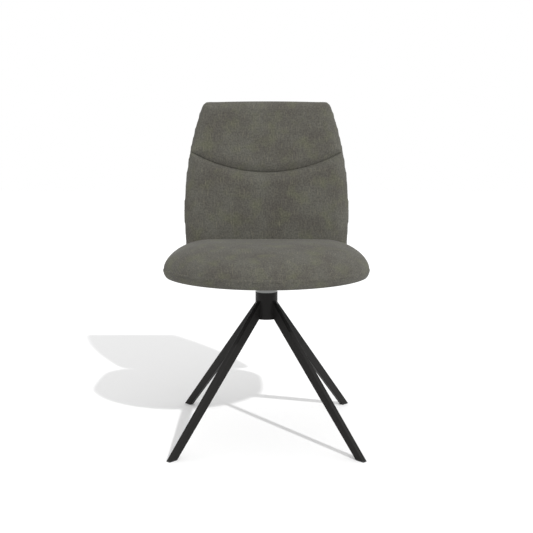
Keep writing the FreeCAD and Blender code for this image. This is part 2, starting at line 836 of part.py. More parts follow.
board = seat_slab(BOARD_INSET, board_foot, board_head)
core = seat_slab(BOARD_INSET, board_head, board_head + size("seat_core_thickness"))
opening = seat_slab(OPENING_INSET, underside, board_foot)
feature("seat_lining", opening.cut(pins(size("bolt_hole"), underside, board_foot)))
feature("seat_board", board.cut([seat_screws] + pins(size("insert_radius"), board_foot, board_head)))
feature("seat_core", core.cut(brackets + [seat_screws]))
feature("seat_pad_top", seat_top().cut(core))
feature("seat_pad_band", seat_band().cut([board, core, opening] + brackets))


# Back: outline in its own plane, with x to the right, y up along it and z to the front

def back_sides():
    """Right side, top, left side and foot of the whole back, against the clock from the foot."""
    side_radius, length = size("back_side_radius"), size("back_length")
    aside = side_radius - size("back_half_width")
    right = (Vector(-aside, size("back_widest"), 0), side_radius, BULGING)
    left = (Vector(aside, size("back_widest"), 0), side_radius, BULGING)
    top = (Vector(0, length - size("back_top_radius"), 0), size("back_top_radius"), BULGING)
    foot = (Vector(0, size("back_foot_radius"), 0), size("back_foot_radius"), BULGING)
    return right, top, left, foot


def smile(gap, bulge):
    """The seam that dips to its lowest point in the middle, moved down by gap."""
    radius = size("smile_radius")
    return Vector(0, size("smile_low") + radius - gap, 0), radius, bulge


def back_plan(part, inset, level):
    """Outline of the whole rear, or of the shoulder or lumbar pad on either side of the seam."""
    right, top, left, foot = back_sides()
    wide, length, low = size("back_half_width") / 2, size("back_length"), size("smile_low")
    foot_corner = (size("back_foot_corner"), wide, 0)
    top_corner = (size("back_top_corner"), wide, length)
    seam_corner = (size("smile_corner"), wide * 2, low * 1.2)
    if part == "rear":
        sides, corners = (foot, right, top, left), (foot_corner, top_corner)
    elif part == "shoulder":
        sides, corners = (smile(0, BULGING), right, top, left), (seam_corner, top_corner)
    else:
        sides, corners = (foot, right, smile(size("smile_gap"), HOLLOW), left), (foot_corner, seam_corner)
    return raised(outline(sides, mirrored_corners(corners), inset), level)


def back_pad(part, way):
    """Padding of the back from the seam plane out to its face, to the front or the rear."""
    steps = crown(size(part + "_depth"), size("pad_roll"), size("pad_power"), size("pad_degrees"),
                  BACK_RINGS)
    profile = [(inset, way * out) for inset, out in steps]
    return padding(lambda inset, level: back_plan(part, inset, level), profile)


def back_slab(part, inset, foot, head):
    return slab(back_plan(part, inset, foot), head - foot)


PADS = {"lumbar": "lower", "shoulder": "upper"}
board = back_slab("rear", size("back_board_margin"), -size("back_board_thickness"), 0)
feature("back_board", board.cut(in_back_frame(back_screws)), BACK)
for part, where in PADS.items():
    core = back_slab(part, size("core_margin"), 0, size(part + "_depth") * size("core_share"))
    feature("back_core_" + where, core, BACK)
    feature("back_pad_" + where, back_pad(part, 1).cut([core] + back_hardware), BACK)
feature("back_pad_rear", back_pad("rear", -1).cut([board] + back_hardware), BACK)


# Check every object and write each piece to its own file

doc.recompute()
PIECE_TYPES = ("PartDesign::Body", "Part::Compound", "Part::Feature")
pieces = [item for item in doc.Objects if item.TypeId in PIECE_TYPES]
for item in doc.Objects:
    if "Invalid" in item.State or "Error" in item.State:
        raise RuntimeError(f"{item.Label} has failed: {item.State}")
for item in pieces:
    if item.Shape.isNull() or not item.Shape.isValid() or item.Shape.Volume <= 0:
        raise RuntimeError(f"{item.Label} has no valid shape")
os.makedirs("parts", exist_ok=True)
for item in pieces:
    item.Shape.exportStep(os.path.join("parts", item.Label + ".step"))
    print(f"{item.Label}: {len(item.Shape.Solids)} solids, {item.Shape.Volume:.1f} cubic mm")
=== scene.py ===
import math

import bpy
import numpy as np
from mathutils.bvhtree import BVHTree
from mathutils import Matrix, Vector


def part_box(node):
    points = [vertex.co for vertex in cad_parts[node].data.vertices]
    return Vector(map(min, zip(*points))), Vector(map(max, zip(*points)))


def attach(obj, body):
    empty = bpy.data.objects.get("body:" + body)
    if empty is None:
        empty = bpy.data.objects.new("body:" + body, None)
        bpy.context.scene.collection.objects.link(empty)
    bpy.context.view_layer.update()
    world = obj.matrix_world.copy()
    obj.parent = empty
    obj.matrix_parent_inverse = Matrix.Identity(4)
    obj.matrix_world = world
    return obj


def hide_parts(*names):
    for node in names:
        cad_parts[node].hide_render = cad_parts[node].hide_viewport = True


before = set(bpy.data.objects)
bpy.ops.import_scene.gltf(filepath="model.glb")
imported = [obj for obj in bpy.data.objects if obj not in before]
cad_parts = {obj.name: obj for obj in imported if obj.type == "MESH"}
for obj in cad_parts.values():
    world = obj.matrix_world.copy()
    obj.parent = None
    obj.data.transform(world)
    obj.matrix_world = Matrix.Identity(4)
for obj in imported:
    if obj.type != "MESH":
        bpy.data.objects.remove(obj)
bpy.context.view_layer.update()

# Swivel dining chair: mottled taupe chenille over foam on a black powder-coated base.
# Metres, +Z up, the sitter faces -Y, and the origin lies on the floor on the swivel axis.

MM = 0.001

# Seat, from the boxes of its two pads and the radii of its plan
SEAT_BAND_LOW, SEAT_BAND_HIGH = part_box("seat_pad_band")
SEAM_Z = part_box("seat_pad_top")[0][2]
SEAT_FOOT_Z = SEAT_BAND_LOW[2]
SEAT_HALF = SEAT_BAND_HIGH[0]
SEAT_FRONT = -SEAT_BAND_LOW[1]
SEAT_REAR = SEAT_BAND_HIGH[1]
SEAT_FRONT_SWELL = 16 * MM
SEAT_FRONT_RADIUS = SEAT_HALF + SEAT_FRONT_SWELL
SEAT_SIDE_RADIUS = 900 * MM
SEAT_WIDEST = 20 * MM
SEAT_BACK_RADIUS = 2.4
SEAT_FRONT_CORNER = 58 * MM
SEAT_REAR_CORNER = 92 * MM
SEAT_CROWN = 66.5 * MM
SEAT_REACH = 160 * MM
SEAT_POWER = 2.3
SEAT_UNDER_ROLL = 17 * MM
SEAT_MIDDLE = (0, -50 * MM)

# Back, in its own leaned plane: u to the right, v up along it, w out to the front
BACK_LOW, BACK_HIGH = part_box("back_pad_rear")
LEAN = math.radians(8.5)
BACK_FOOT = np.array([0, BACK_LOW[1], BACK_LOW[2]])
BACK_LENGTH = 448 * MM
BACK_HALF = BACK_HIGH[0]
BACK_SIDE_RADIUS = 897 * MM
BACK_WIDEST = 142 * MM
BACK_TOP_RADIUS = 4.5
BACK_FOOT_RADIUS = 2.0
BACK_TOP_CORNER = 16 * MM
BACK_FOOT_CORNER = 30 * MM
SMILE_RADIUS = 404 * MM
SMILE_LOW = 252 * MM
SMILE_CORNER = 5 * MM
LUMBAR_DEPTH = 32 * MM
SHOULDER_DEPTH = 24 * MM
REAR_DEPTH = 18 * MM
FRONT_POWER = 2.3
REAR_ROLL = 24 * MM
REAR_POWER = 2.2
# Width over which the front pads' edges grow steeper towards the curved seam
SEAM_FADE = 12 * MM

# Covers: how far one is tucked in behind the next at a sewn edge, and how near to that edge the
# cloth is held while it swells
TUCK = 7 * MM
HELD = 2 * MM
SWELL_FRAMES = 14

# Lining: its margin inside the seat's outline, its drop below the band, its two faces and puckers
LINING_MARGIN = 50 * MM
LINING_DROP = 0.9 * MM
LINING_RISE = 0.5 * MM
PUCKER = 0.3 * MM
PUCKER_ACROSS = 31 * MM
PUCKER_ALONG = 37 * MM

# Column, the legs' ends on it, and the bead that welds them, with ripples 1.6 mm apart
COLUMN_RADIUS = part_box("column_tube")[1][0]
LEG_HALF = 6.9 * MM
LEG_END_MIDDLE = 324.7 * MM
LEG_END_HALF = 21 * MM
BEAD_RADIUS = 1.2 * MM
BEAD_RIPPLE = 0.15 * MM
BEAD_RIPPLES = 60

# Camera and light, solved from the photograph's perspective and shadow
CAMERA_PLACE = (0, -2.124, 0.7346)
CAMERA_TILT = math.radians(90 - 8.09)
CAMERA_LENS = 56.6
SUN_FROM = (0.63, -1.02, 1.0)
SUN_STRENGTH = 1.75
SUN_WIDTH = math.radians(1.5)
SKY_STRENGTH = 0.86
WHITE = (1, 1, 1, 1)
# What the floor throws back on the chair
FLOOR_GREY = (0.75, 0.75, 0.75, 1)


# Colours and nodes

def linear(text):
    """The linear colour of an sRGB hex value."""
    part = np.array([int(text[i:i + 2], 16) for i in (1, 3, 5)]) / 255
    low, high = part / 12.92, ((part + 0.055) / 1.055) ** 2.4
    return (*np.where(part <= 0.04045, low, high).tolist(), 1)


def add(tree, kind, inputs=None, **settings):
    """A new node with its settings, and its inputs linked from sockets or set to values."""
    node = tree.nodes.new(kind)
    for name, value in settings.items():
        setattr(node, name, value)
    for key, value in (inputs or {}).items():
        if isinstance(value, bpy.types.NodeSocket):
            tree.links.new(value, node.inputs[key])
        else:
            node.inputs[key].default_value = value
    return node


def new_material(name, **uniform):
    """A material with one surface shader, whose even values are set on its own sockets."""
    material = bpy.data.materials.new(name)
    material.use_nodes = True
    tree = material.node_tree
    shader = tree.nodes["Principled BSDF"]
    for key, value in uniform.items():
        shader.inputs[key.replace("_", " ")].default_value = value
    return material, tree, shader


# The colour inputs of a Mix node
MIX_A, MIX_B = 6, 7


def tint(tree, shader, colour, share):
    """The finish's colour, made lighter and darker by a share that varies over the surface."""
    tinted = add(tree, "ShaderNodeVectorMath", {0: linear(colour)[:3], "Scale": share.outputs[0]},
                 operation="SCALE")
    tree.links.new(tinted.outputs[0], shader.inputs["Base Color"])


def relief(tree, shader, height, strength, distance):
    """Fine relief, in metres, that follows a texture."""
    bump = add(tree, "ShaderNodeBump", {"Height": height.outputs[0], "Strength": strength,
                                        "Distance": distance})
    tree.links.new(bump.outputs[0], shader.inputs["Normal"])


def chenille(name, shade, light, olive, streak):
    """Short-pile polyester chenille, printed in soft clouds: dull, with a little sheen at its edges."""
    material, tree, shader = new_material(
        name, Roughness=0.95, Sheen_Weight=0.04, Sheen_Roughness=0.5)
    cloth = add(tree, "ShaderNodeUVMap", uv_map="cloth").outputs[0]
    # Clouds of about 90 mm and olive blotches of about 50 mm
    cloud = add(tree, "ShaderNodeTexNoise", {"Vector": cloth, "Scale": 1 / 0.09, "Detail": 4.0,
                                             "Roughness": 0.62}, noise_dimensions="2D")
    cloud_share = add(tree, "ShaderNodeMapRange", {"Value": cloud.outputs[0], "From Min": 0.3,
                                                   "From Max": 0.7})
    clouded = add(tree, "ShaderNodeMix", {0: cloud_share.outputs[0], MIX_A: linear(shade),
                                          MIX_B: linear(light)}, data_type="RGBA")
    shifted = add(tree, "ShaderNodeMapping", {"Vector": cloth, "Location": (3.1, 1.7, 0)})
    blotch = add(tree, "ShaderNodeTexNoise", {"Vector": shifted.outputs[0], "Scale": 1 / 0.05,
                                              "Detail": 3.0}, noise_dimensions="2D")
    blotch_share = add(tree, "ShaderNodeMapRange", {"Value": blotch.outputs[0], "From Min": 0.5,
                                                    "From Max": 0.75, "To Max": 0.55})
    blotched = add(tree, "ShaderNodeMix", {0: blotch_share.outputs[0], MIX_A: clouded.outputs[2],
                                           MIX_B: linear(olive)}, data_type="RGBA")
    # Tufts of pile some 5 mm wide, down to single yarns
    grain = add(tree, "ShaderNodeTexNoise", {"Vector": cloth, "Scale": 1 / 0.005, "Detail": 3.0,
                                             "Roughness": 0.75}, noise_dimensions="2D")
    grain_share = add(tree, "ShaderNodeMapRange", {"Value": grain.outputs[0], "From Min": 0.3,
                                                   "From Max": 0.7, "To Min": 0.7, "To Max": 1.3})
    grained = add(tree, "ShaderNodeVectorMath", {0: blotched.outputs[2],
                                                 "Scale": grain_share.outputs[0]}, operation="SCALE")
    # Slubs: thin light threads 30 mm long up the cloth and fewer across it
    colour = grained.outputs[0]
    for turn, low in ((0, 0.68), (math.pi / 2, 0.69)):
        laid = add(tree, "ShaderNodeMapping", {"Vector": cloth, "Rotation": (0, 0, turn),
                                               "Scale": (1 / 0.0022, 1 / 0.03, 1)})
        slub = add(tree, "ShaderNodeTexNoise", {"Vector": laid.outputs[0], "Scale": 1.0,
                                                "Detail": 1.0}, noise_dimensions="2D")
        share = add(tree, "ShaderNodeMapRange", {"Value": slub.outputs[0], "From Min": low,
                                                 "From Max": low + 0.1, "To Max": 0.45})
        mixed = add(tree, "ShaderNodeMix", {0: share.outputs[0], MIX_A: colour,
                                            MIX_B: linear(streak)}, data_type="RGBA")
        colour = mixed.outputs[2]
    tree.links.new(colour, shader.inputs["Base Color"])
    relief(tree, shader, grain, 0.35, 0.6 * MM)
    return material


def powder_coat(name, colour):
    """Polyester powder coat baked on steel: satin, with a fine orange-peel ripple."""
    material, tree, shader = new_material(name, Roughness=0.45, Specular_IOR_Level=0.16)
    place = add(tree, "ShaderNodeTexCoord").outputs["Object"]
    shade = add(tree, "ShaderNodeTexNoise", {"Vector": place, "Scale": 1 / 0.02, "Detail": 2.0})
    even = add(tree, "ShaderNodeMapRange", {"Value": shade.outputs[0], "To Min": 0.88, "To Max": 1.12})
    tint(tree, shader, colour, even)
    peel = add(tree, "ShaderNodeTexNoise", {"Vector": place, "Scale": 1 / 0.0012, "Detail": 1.0})
    relief(tree, shader, peel, 0.25, 0.2 * MM)
    return material


def zinc_plate(name, colour):
    """Bright zinc over turned steel: a soft metal shine with fine rings from the lathe."""
    material, tree, shader = new_material(name, Metallic=1.0, Roughness=0.26)
    place = add(tree, "ShaderNodeTexCoord").outputs["Object"]
    rings = add(tree, "ShaderNodeTexNoise", {"Vector": add(tree, "ShaderNodeMapping", {
        "Vector": place, "Scale": (20, 20, 1 / 0.0006)}).outputs[0], "Scale": 1.0, "Detail": 2.0})
    tone = add(tree, "ShaderNodeMapRange", {"Value": rings.outputs[0], "To Min": 0.85, "To Max": 1.1})
    tint(tree, shader, colour, tone)
    relief(tree, shader, rings, 0.2, 0.1 * MM)
    return material


def moulded_plastic(name, colour, rough):
    """Injection-moulded plastic, polypropylene or acetal: matt, with a fine spark-eroded grain."""
    material, tree, shader = new_material(name, Roughness=rough, IOR=1.49)
    place = add(tree, "ShaderNodeTexCoord").outputs["Object"]
    grain = add(tree, "ShaderNodeTexNoise", {"Vector": place, "Scale": 1 / 0.0015, "Detail": 2.0})
    tone = add(tree, "ShaderNodeMapRange", {"Value": grain.outputs[0], "To Min": 0.9, "To Max": 1.1})
    tint(tree, shader, colour, tone)
    relief(tree, shader, grain, 0.2, 0.2 * MM)
    return material


def birch_plywood(name, pale, dark):
    """Sawn birch plywood: pale grain some 4 mm wide, drawn out along the board."""
    material, tree, shader = new_material(name, Roughness=0.7)
    place = add(tree, "ShaderNodeTexCoord").outputs["Object"]
    along = add(tree, "ShaderNodeMapping", {"Vector": place, "Scale": (1 / 0.12, 1 / 0.004, 1 / 0.0015)})
    grain = add(tree, "ShaderNodeTexNoise", {"Vector": along.outputs[0], "Scale": 1.0, "Detail": 3.0})
    mixed = add(tree, "ShaderNodeMix", {0: grain.outputs[0], MIX_A: linear(pale),
                                        MIX_B: linear(dark)}, data_type="RGBA")
    tree.links.new(mixed.outputs[2], shader.inputs["Base Color"])
    return material


def spunbond(name, colour):
    """Spunbonded polypropylene lining: dull black with a pressed dot every 2.5 mm."""
    material, tree, shader = new_material(name, Roughness=0.8)
    place = add(tree, "ShaderNodeTexCoord").outputs["Object"]
    dots = add(tree, "ShaderNodeTexVoronoi", {"Vector": place, "Scale": 1 / 0.0025, "Randomness": 0.1})
    tone = add(tree, "ShaderNodeMapRange", {"Value": dots.outputs[0], "From Max": 0.5, "To Min": 0.6,
                                            "To Max": 1.3})
    tint(tree, shader, colour, tone)
    relief(tree, shader, dots, 0.4, 0.3 * MM)
    return material


FABRIC = chenille("chenille_taupe", "#4A4741", "#56554E", "#5A5B48", "#757261")
COAT = powder_coat("powder_coat_black", "#1A1918")
ZINC = zinc_plate("zinc_plated_steel", "#7A7B7A")
BLACK_PLASTIC = moulded_plastic("polypropylene_black", "#161616", 0.55)
BUSH_PLASTIC = moulded_plastic("acetal_natural", "#DAD7CC", 0.4)
PLYWOOD = birch_plywood("birch_plywood", "#CDB68D", "#A98B5E")
LINING = spunbond("spunbond_black", "#171717")

LEGS = [f"{end}_{side}" for end in ("front", "rear") for side in ("left", "right")]
FINISHES = {
    COAT: ["column_tube", "spindle_hub", "seat_plate", "back_bracket_left", "back_bracket_right"]
          + ["leg_" + leg for leg in LEGS],
    ZINC: ["bearing_cup", "spindle", "retaining_ring", "plate_bolts", "threaded_inserts",
           "seat_bracket_screws", "back_bracket_screws"],
    BLACK_PLASTIC: ["column_cap"] + ["foot_glide_" + leg for leg in LEGS],
    BUSH_PLASTIC: ["upper_bush", "lower_bush"],
    PLYWOOD: ["seat_board", "back_board"],
}
for finish, names in FINISHES.items():
    for name in names:
        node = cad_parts[name]
        node.data.materials.clear()
        node.data.materials.append(finish)


# Meshes from arrays

def new_piece(name, points, faces, material, body):
    """An object at the origin whose mesh has these points and faces."""
    mesh = bpy.data.meshes.new(name)
    mesh.from_pydata(points.tolist(), [], faces)
    mesh.validate()
    mesh.materials.append(material)
    piece = bpy.data.objects.new(name, mesh)
    bpy.context.scene.collection.objects.link(piece)
    mesh.shade_smooth()
    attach(piece, body)
    return piece


def grid_faces(rows, columns, closed_rows=False):
    """Quads of a grid of points, row by row. Its columns close on themselves, its rows if asked."""
    row = np.arange(rows if closed_rows else rows - 1)[:, None]
    column = np.arange(columns)[None, :]
    below, after = (row + 1) % rows, (column + 1) % columns
    corners = [row * columns + column, row * columns + after, below * columns + after,
               below * columns + column]
    return np.stack(corners, axis=-1).reshape(-1, 4)


TUBE_SIDES = 8
TUBE_UP = [0.13, 0.29, 0.95]


def tube(path, radius):
    """Points and faces of a round tube along a closed path: a circle, whose radius may change along
    the path, is carried square to it, turned by its direction and a fixed up."""
    ahead = np.roll(path, -1, axis=0) - np.roll(path, 1, axis=0)
    ahead /= np.linalg.norm(ahead, axis=1, keepdims=True)
    aside = np.cross(ahead, TUBE_UP)
    aside /= np.linalg.norm(aside, axis=1, keepdims=True)
    upward = np.cross(aside, ahead)
    turn = np.linspace(0, 2 * np.pi, TUBE_SIDES, endpoint=False)
    thick = np.broadcast_to(radius, len(path))[:, None, None]
    ring = aside[:, None] * np.cos(turn)[:, None] + upward[:, None] * np.sin(turn)[:, None]
    points = (path[:, None] + ring * thick).reshape(-1, 3)
    return points, grid_faces(len(path), TUBE_SIDES, closed_rows=True).tolist()


def side(centre, radius, way=1):
    """One side of a plan: a circle's centre and radius, 1 where it bulges and -1 where it's hollow."""
    return centre, radius, way


def corner_of(one, other, radius, near):
    """Centre of the round of a radius between two sides: where the sides' circles, drawn in by it,
    cross nearest to a point. With it come the two outward directions that bound the round."""
    (first, first_radius, first_way), (second, second_radius, second_way) = one, other
    first, second = np.array(first, float), np.array(second, float)
    reach, other_reach = first_radius - first_way * radius, second_radius - second_way * radius
    between = second - first
    length = np.hypot(*between)
    along = (length ** 2 + reach ** 2 - other_reach ** 2) / (2 * length)
    aside = np.array([-between[1], between[0]]) / length * math.sqrt(reach ** 2 - along ** 2)
    middle = first + between * along / length
    centre = min((middle + aside, middle - aside), key=lambda point: np.hypot(*(point - near)))
    outward = [way * (centre - start) / np.hypot(*(centre - start))
               for start, way in ((first, first_way), (second, second_way))]
    return centre, radius, np.linalg.inv(np.column_stack(outward))


def plan_of(sides, corners):
    """Signed distance to a plan, negative inside. Its right half is bounded by arcs, and between two
    outward directions at a corner's centre the distance is that to the round."""
    rounds = [corner_of(sides[i], sides[j], radius, near) for i, j, radius, near in corners]

    def distance(x, y):
        x = np.abs(x)
        out = np.maximum.reduce([way * (np.hypot(x - centre[0], y - centre[1]) - radius)
                                 for centre, radius, way in sides])
        for centre, radius, shares in rounds:
            across, up = x - centre[0], y - centre[1]
            one = shares[0, 0] * across + shares[0, 1] * up
            other = shares[1, 0] * across + shares[1, 1] * up
            out = np.where((one > 0) & (other > 0), np.hypot(across, up) - radius, out)
        return out

    return distance


def bulge(distance, roll, power):
    """Height share of a padded edge: a quarter of a superellipse that starts upright at the edge."""
    share = np.clip(distance / roll, 0, 1)
    return (1 - (1 - share) ** power) ** (1 / power)


# A pad's mesh before it is made even, and how its outline is found within 0.6 m of its middle
RAYS = 360
RINGS = 56
FARTHEST = 600 * MM
HALVINGS = 36


def plan_grid(outline, centre):
    """Rings of plan points on rays from a centre. The first ring lies on the outline, found along
    each ray by halving, and the spacing of the others grows as the square of their number."""
    turn = np.linspace(0, 2 * np.pi, RAYS, endpoint=False)
    inside, outside = np.zeros(RAYS), np.full(RAYS, FARTHEST)
    for _ in range(HALVINGS):
        middle = (inside + outside) / 2
        within = outline(centre[0] + middle * np.cos(turn), centre[1] + middle * np.sin(turn)) < 0
        inside, outside = np.where(within, middle, inside), np.where(within, outside, middle)
    share = 1 - np.linspace(0, 1, RINGS, endpoint=False) ** 2
    reach = share[:, None] * inside[None, :]
    return centre[0] + reach * np.cos(turn), centre[1] + reach * np.sin(turn)


def closed_pad(outline, centre, upper, lower, ease=0):
    """Points and faces of a closed pad: two height sheets over the plan's rings, joined at the
    outline ring and each closed by a fan at its middle. Ease pushes the outline out a little."""
    x, y = plan_grid(lambda across, up: outline(across, up) - ease, centre)
    top = np.stack([x, y, upper(x, y)], axis=-1).reshape(-1, 3)
    under = np.stack([x, y, lower(x, y)], axis=-1)[1:].reshape(-1, 3)
    across, up = np.array([centre], float).T
    middle = np.array([[*centre, sheet(across, up)[0]] for sheet in (upper, lower)])
    points = np.vstack([top, under, middle])
    faces = grid_faces(RINGS, RAYS)
    under_faces = grid_faces(RINGS, RAYS)[:, ::-1]
    under_faces = np.where(under_faces >= RAYS, under_faces + (RINGS - 1) * RAYS, under_faces)
    here = np.arange(RAYS)
    after = (here + 1) % RAYS
    last_top, last_under = (RINGS - 1) * RAYS, (2 * RINGS - 2) * RAYS
    fan_top = np.stack([here + last_top, after + last_top, np.full(RAYS, len(points) - 2)], axis=-1)
    fan_under = np.stack([after + last_under, here + last_under, np.full(RAYS, len(points) - 1)], axis=-1)
    return points, faces.tolist() + under_faces.tolist() + fan_top.tolist() + fan_under.tolist()


# Padding under its cover: remeshed evenly, blown up as cloth, and capped

def swollen(piece, voxel, cap, pressure, pinned):
    """The piece's mesh remeshed at the voxel size and drawn back to its true form, swelled by
    pressure as cloth whose pinned points stay, with no point moved by more than the cap, smoothed
    and subdivided once."""
    form = BVHTree.FromObject(piece, bpy.context.evaluated_depsgraph_get())
    remesh = piece.modifiers.new("even", "REMESH")
    remesh.mode = "VOXEL"
    remesh.voxel_size = voxel
    even = bpy.data.meshes.new_from_object(piece.evaluated_get(bpy.context.evaluated_depsgraph_get()))
    piece.modifiers.clear()
    material = piece.data.materials[0]
    piece.data = even
    even.materials.clear()
    even.materials.append(material)
    rest = np.array([form.find_nearest(at)[0] for at in coordinates(even)])
    even.vertices.foreach_set("co", rest.ravel())
    cloth = piece.modifiers.new("cloth", "CLOTH")
    cloth.settings.quality = 2
    cloth.settings.use_pressure = True
    cloth.settings.uniform_pressure_force = pressure
    cloth.settings.effector_weights.gravity = 0
    cloth.settings.bending_stiffness = 2.0
    group = piece.vertex_groups.new(name="held")
    group.add(np.flatnonzero(pinned(rest)).tolist(), 1.0, "REPLACE")
    cloth.settings.vertex_group_mass = "held"
    for number in range(1, SWELL_FRAMES + 1):
        bpy.context.scene.frame_set(number)
    drawn = piece.evaluated_get(bpy.context.evaluated_depsgraph_get())
    moved = coordinates(drawn.data) - rest
    length = np.linalg.norm(moved, axis=1, keepdims=True)
    moved *= np.minimum(1, cap / np.maximum(length, 1e-9))
    piece.modifiers.clear()
    piece.vertex_groups.clear()
    even.vertices.foreach_set("co", (rest + moved).ravel())
    smooth = piece.modifiers.new("smooth", "SMOOTH")
    smooth.factor = 0.5
    smooth.iterations = 2
    fine = piece.modifiers.new("fine", "SUBSURF")
    fine.levels = fine.render_levels = 1
    even.shade_smooth()
    even.update()


def coordinates(mesh):
    """A mesh's points, one to a row."""
    flat = np.empty(3 * len(mesh.vertices))
    mesh.vertices.foreach_get("co", flat)
    return flat.reshape(-1, 3)


def lay_cloth(piece, at, face):
    """The cover's map in metres, where each point would lie on the cloth spread flat: in its
    place on the face, carried outwards from the middle by the depth that lies behind the face."""
    away = at[:, :2] - at[:, :2].mean(axis=0)
    away /= np.maximum(np.linalg.norm(away, axis=1, keepdims=True), 1e-6)
    flat = at[:, :2] + away * np.abs(at[:, 2:] - face)
    corners = np.empty(len(piece.data.loops), dtype=np.int32)
    piece.data.loops.foreach_get("vertex_index", corners)
    layer = piece.data.uv_layers.new(name="cloth")
    layer.uv.foreach_set("vector", flat[corners].ravel())


# Seat cushion: a domed top panel over its foam, and the band under it

SEAT_PLAN = plan_of([side((0, SEAT_FRONT_RADIUS - SEAT_FRONT), SEAT_FRONT_RADIUS),
                     side((SEAT_HALF - SEAT_SIDE_RADIUS, -SEAT_WIDEST), SEAT_SIDE_RADIUS),
                     side((0, SEAT_REAR - SEAT_BACK_RADIUS), SEAT_BACK_RADIUS)],
                    [(0, 1, SEAT_FRONT_CORNER, (SEAT_HALF / 2, -SEAT_FRONT / 2)),
                     (1, 2, SEAT_REAR_CORNER, (SEAT_HALF / 2, SEAT_REAR / 2))])


def seat_crown(x, y):
    """The crown's quarter superellipse above the seam."""
    return SEAM_Z + SEAT_CROWN * bulge(-SEAT_PLAN(x, y), SEAT_REACH, SEAT_POWER)


def seat_under(x, y):
    """The band below the seam rolls in on a quarter ellipse to the flat underside."""
    return SEAM_Z - (SEAM_Z - SEAT_FOOT_Z) * bulge(-SEAT_PLAN(x, y), SEAT_UNDER_ROLL, 2)


def top_panel_edge(x, y):
    """The top panel's foot, which laps over the band."""
    return np.full_like(x, SEAM_Z - TUCK / 3)


def tucked_band(x, y):
    """The band's head, tucked up inside the top panel."""
    return np.full_like(x, SEAM_Z + TUCK)


def make_seat_pad(name, upper, lower, nodes, face, ease, cap, pinned):
    """A pad of the seat between two height sheets, its cloth spread from the height of its face."""
    points, faces = closed_pad(SEAT_PLAN, SEAT_MIDDLE, upper, lower, ease)
    pad = new_piece(name, points, faces, FABRIC, "seat")
    swollen(pad, voxel=6 * MM, cap=cap, pressure=4, pinned=pinned)
    lay_cloth(pad, coordinates(pad.data), face)
    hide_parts(*nodes)


# Back pads

def on_back(points):
    """Points given as u, v and w in the back's own plane, moved to the chair's frame."""
    upward = np.array([0, math.sin(LEAN), math.cos(LEAN)])
    forward = np.array([0, -math.cos(LEAN), math.sin(LEAN)])
    u, v, w = points[:, :1], points[:, 1:2], points[:, 2:]
    return BACK_FOOT + u * np.array([1, 0, 0]) + v * upward + w * forward


def in_back(points):
    """The reverse: u, v and w of points in the chair's frame."""
    upward = np.array([0, math.sin(LEAN), math.cos(LEAN)])
    forward = np.array([0, -math.cos(LEAN), math.sin(LEAN)])
    away = points - BACK_FOOT
    return np.stack([points[:, 0], away @ upward, away @ forward], axis=-1)


BACK_SIDE = side((BACK_HALF - BACK_SIDE_RADIUS, BACK_WIDEST), BACK_SIDE_RADIUS)
BACK_TOP = side((0, BACK_LENGTH - BACK_TOP_RADIUS), BACK_TOP_RADIUS)
BACK_BOTTOM = side((0, BACK_FOOT_RADIUS), BACK_FOOT_RADIUS)
ABOVE_TUCK = side((0, SMILE_LOW + SMILE_RADIUS), SMILE_RADIUS + TUCK)
BELOW_SMILE = side((0, SMILE_LOW + SMILE_RADIUS), SMILE_RADIUS, -1)
TOP_CORNER = (0, 1, BACK_TOP_CORNER, (BACK_HALF / 2, BACK_LENGTH))
NEAR_FOOT = (BACK_HALF / 2, 0)
NEAR_SEAM = (BACK_HALF * 2, SMILE_LOW * 1.2)
REAR_PLAN = plan_of([BACK_SIDE, BACK_TOP, BACK_BOTTOM],
                    [TOP_CORNER, (0, 2, BACK_FOOT_CORNER, NEAR_FOOT)])
LUMBAR_PLAN = plan_of([BACK_SIDE, BELOW_SMILE, BACK_BOTTOM],
                      [(0, 1, SMILE_CORNER, NEAR_SEAM), (0, 2, BACK_FOOT_CORNER, NEAR_FOOT)])
SHOULDER_PLAN = plan_of([BACK_SIDE, BACK_TOP, ABOVE_TUCK],
                        [TOP_CORNER, (0, 2, SMILE_CORNER, NEAR_SEAM)])


def above_smile(u, v):
    """Signed distance to the tucked edge's circle: negative above it, inside the circle."""
    return np.hypot(u, v - SMILE_LOW - SMILE_RADIUS) - SMILE_RADIUS - TUCK


def below_smile(u, v):
    """Signed distance to the curved seam: negative below it."""
    return SMILE_RADIUS - np.hypot(u, v - SMILE_LOW - SMILE_RADIUS)


def face_height(plan, seam, depth, roll, seam_roll, crown):
    """Height function of a front pad: its edge rolls up over one width, and over a narrower one
    beside the seam, and a low crown falls away with the square of the distance from the middle."""

    def height(u, v):
        at_seam = np.exp(-np.maximum(-seam(u, v), 0) / SEAM_FADE)
        width = roll + (seam_roll - roll) * at_seam
        rise = bulge(-plan(u, v), width, FRONT_POWER)
        return depth * rise - crown * rise * (u / BACK_HALF) ** 2

    return height


def flat_height(u, v):
    """The front pads' rear, flat on the board."""
    return np.zeros_like(u)


def rear_tuck(u, v):
    """The rear cover's front edge, tucked in behind the front covers."""
    return np.full_like(u, TUCK)


def make_back_pad(name, plan, centre, height, nodes, cap):
    """A front pad of the back: flat behind, held there, and swelled to the front."""
    points, faces = closed_pad(plan, centre, height, flat_height, ease=3.4 * MM)
    pad = new_piece(name, on_back(points), faces, FABRIC, "seat")
    swollen(pad, voxel=5 * MM, cap=cap, pressure=3, pinned=lambda at: in_back(at)[:, 2] < HELD)
    lay_cloth(pad, in_back(coordinates(pad.data)), LUMBAR_DEPTH)
    finish_pad(nodes)


def finish_pad(nodes):
    """Hides the parts that a pad of the back stands for, its filling among them where given."""
    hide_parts(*nodes)


